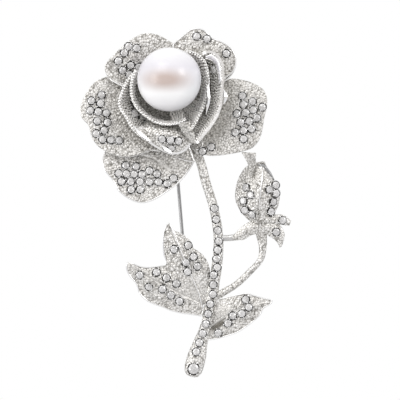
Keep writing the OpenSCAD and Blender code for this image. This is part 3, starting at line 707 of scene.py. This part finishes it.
def brilliant(bm, centre, axis, r, turn):
    """A round stone: a table, eight kites with stars and halves between, a girdle, and a foiled pavilion."""
    x, y, z = basis(axis)

    def ring(count, radius, height, start):
        return [bm.verts.new(centre + z * height * r + radius * r * (x * math.cos(a) + y * math.sin(a)))
                for a in (turn + start + 2 * math.pi * j / count for j in range(count))]

    eighth = math.pi / 8
    table = ring(8, 0.58, 0.3, 0)
    stars = ring(8, 0.81, 0.19, eighth)
    girdle = ring(16, 1.0, 0.04, 0)
    under = ring(16, 1.0, -0.04, 0)
    belly = ring(8, 0.5, -0.46, eighth)
    culet = bm.verts.new(centre - z * 0.86 * r)
    crown = [tuple(table)]
    pavilion = []
    for k in range(8):
        at, half, end = 2 * k, 2 * k + 1, (2 * k + 2) % 16
        crown += [(table[k], stars[k], table[(k + 1) % 8]), (table[k], stars[k - 1], girdle[at], stars[k]),
                  (stars[k], girdle[at], girdle[half]), (stars[k], girdle[half], girdle[end])]
        pavilion += [(belly[k], under[half], under[at]), (belly[k], under[end], under[half]),
                     (belly[k], under[at], belly[k - 1]), (belly[k], belly[k - 1], culet)]
    crown += [(girdle[j], under[j], under[(j + 1) % 16], girdle[(j + 1) % 16]) for j in range(16)]
    for corners in crown:
        bm.faces.new(corners).material_index = 0
    for corners in pavilion:
        bm.faces.new(corners).material_index = 1


def socket(bm, centre, axis, r, turn, claws):
    """A seat with a fine collar round it, both painted dark as shade, and claws over the stone's edge."""
    k = r / STONE_R
    lathe(bm, centre, axis, [(0.5 * k, -0.3), (STONE_R * k, -0.06), (SOCKET_R * k, 0.0)], 20, 1)
    wire = [(0.0, 0.06), (0.05, 0.04), (0.07, 0.0), (0.06, -0.1), (0.0, -0.14), (-0.05, -0.1), (-0.04, 0.03)]
    lathe(bm, centre, axis, [(SOCKET_R * k + dr, h - 0.04) for dr, h in wire + wire[:1]], 20, 1)
    x, y, z = basis(axis)
    for j in range(claws):
        a = turn + 2 * math.pi * j / claws
        out = x * math.cos(a) + y * math.sin(a)
        bead(bm, centre + out * (SOCKET_R * k + 0.04) + z * 0.02, CLAW_R, z + 0.5 * out, 1.2)


def set_stones(node, materials):
    """The cut stones of one CAD group and their sockets. Stones on steep walls are turned to the front."""
    rng = random.Random(node)
    cut, held = bmesh.new(), bmesh.new()
    for centre, axis, r in stone_places(node):
        turn = rng.uniform(0, math.pi / 4)
        wobble = np.array([rng.uniform(-1, 1) for _ in range(3)]) * 0.07
        small = STONE_R / CAD_STONE_R
        steep = max(STEEP_BELOW - float(axis @ (0, -1, 0)), 0)
        lean = axis + wobble + np.array((0, -STEEP_TURN, 0)) * steep
        centre = centre + np.array((0, -1, 0)) * min(STEEP_SHIFT * steep, MOST_SHIFT)
        brilliant(cut, centre, lean / np.linalg.norm(lean), r * small, turn)
        claws = 4 if r < 0.8 else 6
        socket(held, centre, axis if steep == 0 else lean, r * small, turn + rng.uniform(0, 0.5), claws)
    bmesh.ops.recalc_face_normals(cut, faces=cut.faces)
    piece(node + "_cut", to_mesh(cut), [materials["crystal"], materials["foil"]], nodes=[node],
          smooth=False)
    piece(node + "_sockets", to_mesh(held), [materials["polished"], materials["seat"]])


# ---- Petals, leaves and rods ----


def front_loop(node):
    """The outline nearer the viewer."""
    return min(outline_loops(node), key=lambda loop: loop[:, 1].mean())


def middle_loop(node):
    """The line midway through the plate's edge, between its two outlines."""
    loops = sorted(outline_loops(node), key=len)[-2:]
    if len(loops) < 2:
        return loops[0]
    a, b = (evenly(loop, 0.25) for loop in loops)
    nearest = np.linalg.norm(a[:, None] - b[None], axis=2).argmin(1)
    return (a + b[nearest]) / 2


def free_run(loop, keep):
    """The longest run of the loop's points for which keep(points) is true."""
    good = keep(loop)
    if good.all():
        return loop
    n = len(loop)
    best, run = [], []
    for k in list(range(n)) * 2:
        run = run + [k] if good[k] and len(run) < n else []
        if len(run) > len(best):
            best = run
    return loop[best]


def rim_wire(name, points, radius, material, closed, sides=10):
    """A wire along a rim, thinner at its ends if it is open; with four sides it is a polished edge."""
    line = rounded_line(evenly(points, 0.22, closed), 2, closed)
    r = np.full(len(line), radius)
    if not closed:
        s = np.minimum(np.arange(len(line)), np.arange(len(line))[::-1]) / 8
        r = radius * (WIRE_ENDS + (1 - WIRE_ENDS) * np.clip(s, 0, 1))
    bm = bmesh.new()
    tube(bm, line, r, sides, closed)
    bmesh.ops.recalc_face_normals(bm, faces=bm.faces)
    piece(name, to_mesh(bm), [material], smooth=sides > 4)


def bead_row(name, points, radius, pitch, material):
    """A row of small balls along a line."""
    bm = bmesh.new()
    for p in evenly(points, pitch, closed=False):
        bead(bm, p, radius, rings=6, sides=10)
    piece(name, to_mesh(bm), [material])


def inward(points, node, distance):
    """The points moved towards the middle of the node's box, as seen from the front."""
    low, high = (np.array(c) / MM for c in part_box(node))
    away = (low + high) / 2 - points
    away[:, 1] = 0
    return points + away / (np.linalg.norm(away, axis=1)[:, None] + 1e-9) * distance


def strewn(mesh, keep, gap):
    """Places on a mesh at least gap apart, where keep(points, normals) is true, with the normals there."""
    co, no = coords(mesh), normals(mesh)
    kept = np.flatnonzero(keep(co, no))
    tree = KDTree(len(co))
    for k in kept:
        tree.insert(co[k], int(k))
    tree.balance()
    chosen, taken = [], set()
    for k in kept:
        if int(k) not in taken:
            chosen.append(int(k))
            taken.update(index for _, index, _ in tree.find_range(co[k], gap))
    return co[chosen], no[chosen]


def bead_walls(materials):
    """Beads over the inner faces of the cup's petals, from the rim down to where the pearl hides them."""
    for node, depth in BEADED.items():
        line = evenly(middle_loop(node), 0.3)
        rim = KDTree(len(line))
        for k, p in enumerate(line):
            if p[1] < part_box("flower_disc")[0].y / MM - 1.5:
                rim.insert(p, k)
        rim.balance()

        def keep(co, no):
            out = co - (FLOWER[0], 0, FLOWER[1])
            facing_in = -(no[:, 0] * out[:, 0] + no[:, 2] * out[:, 2]) > 0.15 * np.hypot(out[:, 0], out[:, 2])
            near = np.array([rim.find(p)[2] < depth for p in co])
            return facing_in & (no[:, 1] < -0.05) & near

        mesh = smoothed(node)
        bm = bmesh.new()
        for p, n in zip(*strewn(mesh, keep, WALL_BEAD_GAP)):
            bead(bm, p + 0.02 * n, WALL_BEAD_R, n, 0.9, rings=5)
        bpy.data.meshes.remove(mesh)
        piece(node + "_grains", to_mesh(bm), [materials["cast"]])


def make_cast(materials):
    """The cast pieces by node."""
    made = {}
    for seed, node in enumerate(OUTER + CUP + LEAVES + BUD + RODS):
        deep, voxel = (CUP_DEPTH, CUP_VOXEL) if node in CUP else (GRAIN_DEPTH, FINE_VOXEL)
        made[node] = piece(node + "_cast", grained(smoothed(node, voxel), node, seed + 1, deep),
                           [materials["cast"]], nodes=[node])
    return made


def make_rims(materials):
    """Smooth wires round the outer petals and leaves, and beads or polished edges on the cup."""
    for node in OUTER:
        rim_wire(node + "_rim", inward(front_loop(node), node, 0.17), RIM_R, materials["polished"], True)
    for node in LEAVES:
        rim_wire(node + "_rim", inward(front_loop(node), node, 0.1), LEAF_RIM_R, materials["polished"], True)
    base_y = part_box("flower_disc")[0].y / MM
    for node in CUP:
        line = free_run(middle_loop(node), lambda p: p[:, 1] < base_y - 2.2)
        if node in ("petal_inner_left", "petal_inner_right", "petal_middle_left"):
            bead_row(node + "_beads", line, BEAD_R, BEAD_PITCH, materials["polished"])
        else:
            rim_wire(node + "_rim", line, CUP_RIM_R, materials["polished"], False, sides=4)


def laid(objects, points, lift):
    """Points at an even pitch along a line of [x, z] points, lifted off the foremost front there."""
    graph = bpy.context.evaluated_depsgraph_get()
    trees = [BVHTree.FromObject(obj, graph) for obj in objects]
    out = []
    for x, _, z in evenly([(x, 0, z) for x, z in points], 0.25, closed=False):
        hits = [tree.ray_cast(Vector((x * MM, -0.04, z * MM)), Vector((0, 1, 0))) for tree in trees]
        hits = [(hit[0].y, hit) for hit in hits if hit[0] is not None]
        if hits:
            hit = min(hits, key=lambda pair: pair[0])[1]
            out.append(np.array(hit[0]) / MM + np.array(hit[1]) * lift)
    return out


def gleam(name, points, radius, material):
    """A polished sliver with four sides along a line, thickest in the middle."""
    line = rounded_line(evenly(points, 0.3, closed=False), 2, closed=False)
    share = np.linspace(0, 1, len(line))
    bm = bmesh.new()
    tube(bm, line, radius * (0.12 + 0.88 * np.sin(math.pi * share)), 4)
    bmesh.ops.recalc_face_normals(bm, faces=bm.faces)
    piece(name, to_mesh(bm), [material], smooth=False)


def sheet(left, right, crown, thickness):
    """A fine closed sheet between two edges, swelling forwards by crown."""
    a, b = (evenly(edge, 0.4, closed=False) for edge in (left, right))
    rows = min(len(a), len(b))
    a, b = (edge[np.linspace(0, len(edge) - 1, rows).round().astype(int)] for edge in (a, b))
    bm = bmesh.new()
    grid = [[bm.verts.new(p + (q - p) * t + np.array((0, -crown * math.sin(math.pi * t), 0)))
             for t in np.linspace(0, 1, 7)] for p, q in zip(a, b)]
    for low, high in zip(grid, grid[1:]):
        for k in range(6):
            bm.faces.new((low[k], low[k + 1], high[k + 1], high[k]))
    return evaluated(to_mesh(bm), ("SOLIDIFY", {"thickness": thickness, "offset": 0.0}),
                     ("SUBSURF", {"levels": 2, "render_levels": 2}),
                     ("REMESH", {"mode": "VOXEL", "voxel_size": 0.1, "use_smooth_shade": True}))


def make_details(cast, materials):
    """Folds, seams and polished edges too fine for the CAD."""
    polished = materials["polished"]
    for k, (left, right, crown) in enumerate(FOLDS):
        piece(f"cup_fold_{k}", grained(sheet(left, right, crown, 0.4), "cup_fold", 40 + k),
              [materials["cast"]])
    for k, (inner, outer, crown) in enumerate(BANDS):
        piece(f"cup_band_{k}", sheet(inner, outer, crown, 0.2), [polished])
    for k, (points, radius) in enumerate(GLEAMS):
        gleam(f"gleam_{k}", points, radius, polished)
    for name, (nodes, points, radius, material) in LAID_WIRES.items():
        line = laid([cast[n] for n in nodes], points, 0.04)
        if len(line) > 4:
            rim_wire(name, line, radius, materials[material], False)


# ---- Pearl and hardware ----


def make_pearl(materials):
    """A pearl is never quite round: it swells and dips by a hundredth or two of a millimetre."""
    low, high = (np.array(c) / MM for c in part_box("pearl"))
    centre, r = (low + high) / 2, (high - low).max() / 2 - 0.03
    bm = bmesh.new()
    bmesh.ops.create_icosphere(bm, subdivisions=6, radius=1.0)
    for v in bm.verts:
        n = np.array(v.co)
        swell = 0.02 * math.sin(3 * n[0] + 1) * math.cos(2.5 * n[2]) + 0.012 * math.sin(5 * n[1] + 4 * n[2])
        v.co = Vector(centre + n * (r + swell - 0.03))
    piece("pearl_nacre", to_mesh(bm), [materials["pearl"]], nodes=["pearl"])


def softened(node, width):
    """The CAD part with its edges eased by a small bevel."""
    bm = in_mm(node)
    bmesh.ops.dissolve_limit(bm, angle_limit=math.radians(1.5), verts=bm.verts, edges=bm.edges)
    return evaluated(to_mesh(bm), ("BEVEL", {"width": width, "segments": 2, "limit_method": "ANGLE",
                                             "angle_limit": math.radians(40), "harden_normals": False}),
                     ("WEIGHTED_NORMAL", {"keep_sharp": True}))


def make_hardware(materials):
    """The back's parts and the pin, each with a slot name that is not used, its material and the width of its
    eased edges.
    """
    parts = {"flower_disc": ("cast_metal", "satin", 0.12), "pearl_cup": ("cast_metal", "satin", 0.08),
             "pearl_post": ("polished_metal", "polished", 0.03),
             "hinge_base": ("polished_metal", "satin", 0.08),
             "hinge_rivet": ("pin_steel", "steel", 0.05), "catch_base": ("polished_metal", "satin", 0.06),
             "catch_lock": ("polished_metal", "polished", 0.06), "pin_stem": ("pin_steel", "steel", 0.02)}
    for node, (slot, material, width) in parts.items():
        body = {"catch_lock": "lock", "pin_stem": "pin"}.get(node, "brooch")
        piece(node + "_finished", softened(node, width), [materials[material]], body, [node])
    piece("bud_link_bar_finished", smoothed("bud_link_bar"), [materials["satin"]],
          nodes=["bud_link_bar"])


# ---- Light and floor ----


def make_world():
    """White to the eye, but to the metal a studio: bright above and at the sides, and dimmer in front."""
    world = bpy.data.worlds.new("studio")
    bpy.context.scene.world = world
    world.use_nodes = True
    tree = world.node_tree
    tree.nodes.clear()

    def add(kind, **settings):
        node = tree.nodes.new(kind)
        for key, value in settings.items():
            setattr(node, key, value)
        return node

    direction = add("ShaderNodeSeparateXYZ")
    tree.links.new(add("ShaderNodeTexCoord").outputs["Generated"], direction.inputs[0])
    height = add("ShaderNodeMapRange")
    tree.links.new(direction.outputs["Z"], height.inputs["Value"])
    height.inputs["From Min"].default_value = -1
    ramp = add("ShaderNodeValToRGB")
    tree.links.new(height.outputs["Result"], ramp.inputs["Fac"])
    stops = [(0.0, (0.62, 0.63, 0.66)), (0.4, (0.8, 0.81, 0.85)), (0.5, (0.76, 0.74, 0.73)),
             (0.58, (0.69, 0.67, 0.65)), (0.66, (0.7, 0.68, 0.67)), (0.76, (0.98, 0.98, 0.99)),
             (1.0, (0.95, 0.95, 0.96))]
    fill_ramp(ramp.color_ramp, stops)
    sides = add("ShaderNodeMath", operation="ABSOLUTE")
    tree.links.new(direction.outputs["X"], sides.inputs[0])
    share = add("ShaderNodeMapRange", interpolation_type="SMOOTHSTEP")
    tree.links.new(sides.outputs[0], share.inputs["Value"])
    share.inputs["From Min"].default_value = 0.75
    share.inputs["From Max"].default_value = 0.97
    both = add("ShaderNodeMix", data_type="RGBA")
    tree.links.new(share.outputs["Result"], both.inputs["Factor"])
    tree.links.new(ramp.outputs["Color"], both.inputs["A"])
    both.inputs["B"].default_value = (1.0, 1.0, 1.02, 1)
    studio = add("ShaderNodeBackground")
    tree.links.new(both.outputs["Result"], studio.inputs["Color"])
    plain = add("ShaderNodeBackground")
    plain.inputs["Color"].default_value = (1, 1, 1, 1)
    seen = add("ShaderNodeMixShader")
    tree.links.new(add("ShaderNodeLightPath").outputs["Is Camera Ray"], seen.inputs["Fac"])
    tree.links.new(studio.outputs[0], seen.inputs[1])
    tree.links.new(plain.outputs[0], seen.inputs[2])
    tree.links.new(seen.outputs[0], add("ShaderNodeOutputWorld").inputs["Surface"])


def fill_ramp(ramp, stops):
    """Sets a new ramp's (place, colour) stops."""
    ramp.elements[0].position, ramp.elements[1].position = stops[0][0], stops[-1][0]
    ramp.elements[0].color, ramp.elements[1].color = (*stops[0][1], 1), (*stops[-1][1], 1)
    for place, colour in stops[1:-1]:
        ramp.elements.new(place).color = (*colour, 1)


def make_lights():
    for name, (place, size, power) in LIGHTS.items():
        data = bpy.data.lights.new(name, "AREA")
        data.size, data.energy = size, power
        light = bpy.data.objects.new(name, data)
        light.location = place
        light.rotation_euler = (-Vector(place)).to_track_quat("-Z", "Y").to_euler()
        bpy.context.scene.collection.objects.link(light)


def make_floor(material):
    """A pale floor far below, so that it lights the metal from under and no view runs into it."""
    bm = bmesh.new()
    bmesh.ops.create_grid(bm, x_segments=4, y_segments=4, size=6.0)
    mesh = to_mesh(bm, "floor")
    mesh.materials.append(material)
    floor = bpy.data.objects.new("floor", mesh)
    floor.location = (0, 0, -2.5)
    bpy.context.scene.collection.objects.link(floor)


# ---- The whole ----


def main():
    scene = bpy.context.scene
    scene.view_settings.view_transform = "Standard"
    make_camera()
    make_world()
    make_lights()
    materials = {"cast": cast_metal(), "polished": polished_metal(), "steel": pin_steel(),
                 "satin": satin_metal(), "seat": shadow_painted_seat(), "crystal": crystal(), "foil": foil(),
                 "pearl": pearl_nacre()}
    make_floor(pale_floor())
    cast = make_cast(materials)
    make_rims(materials)
    bead_walls(materials)
    make_details(cast, materials)
    make_pearl(materials)
    make_hardware(materials)
    for node in sorted(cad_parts):
        if node.startswith("stone"):
            set_stones(node, materials)


main()
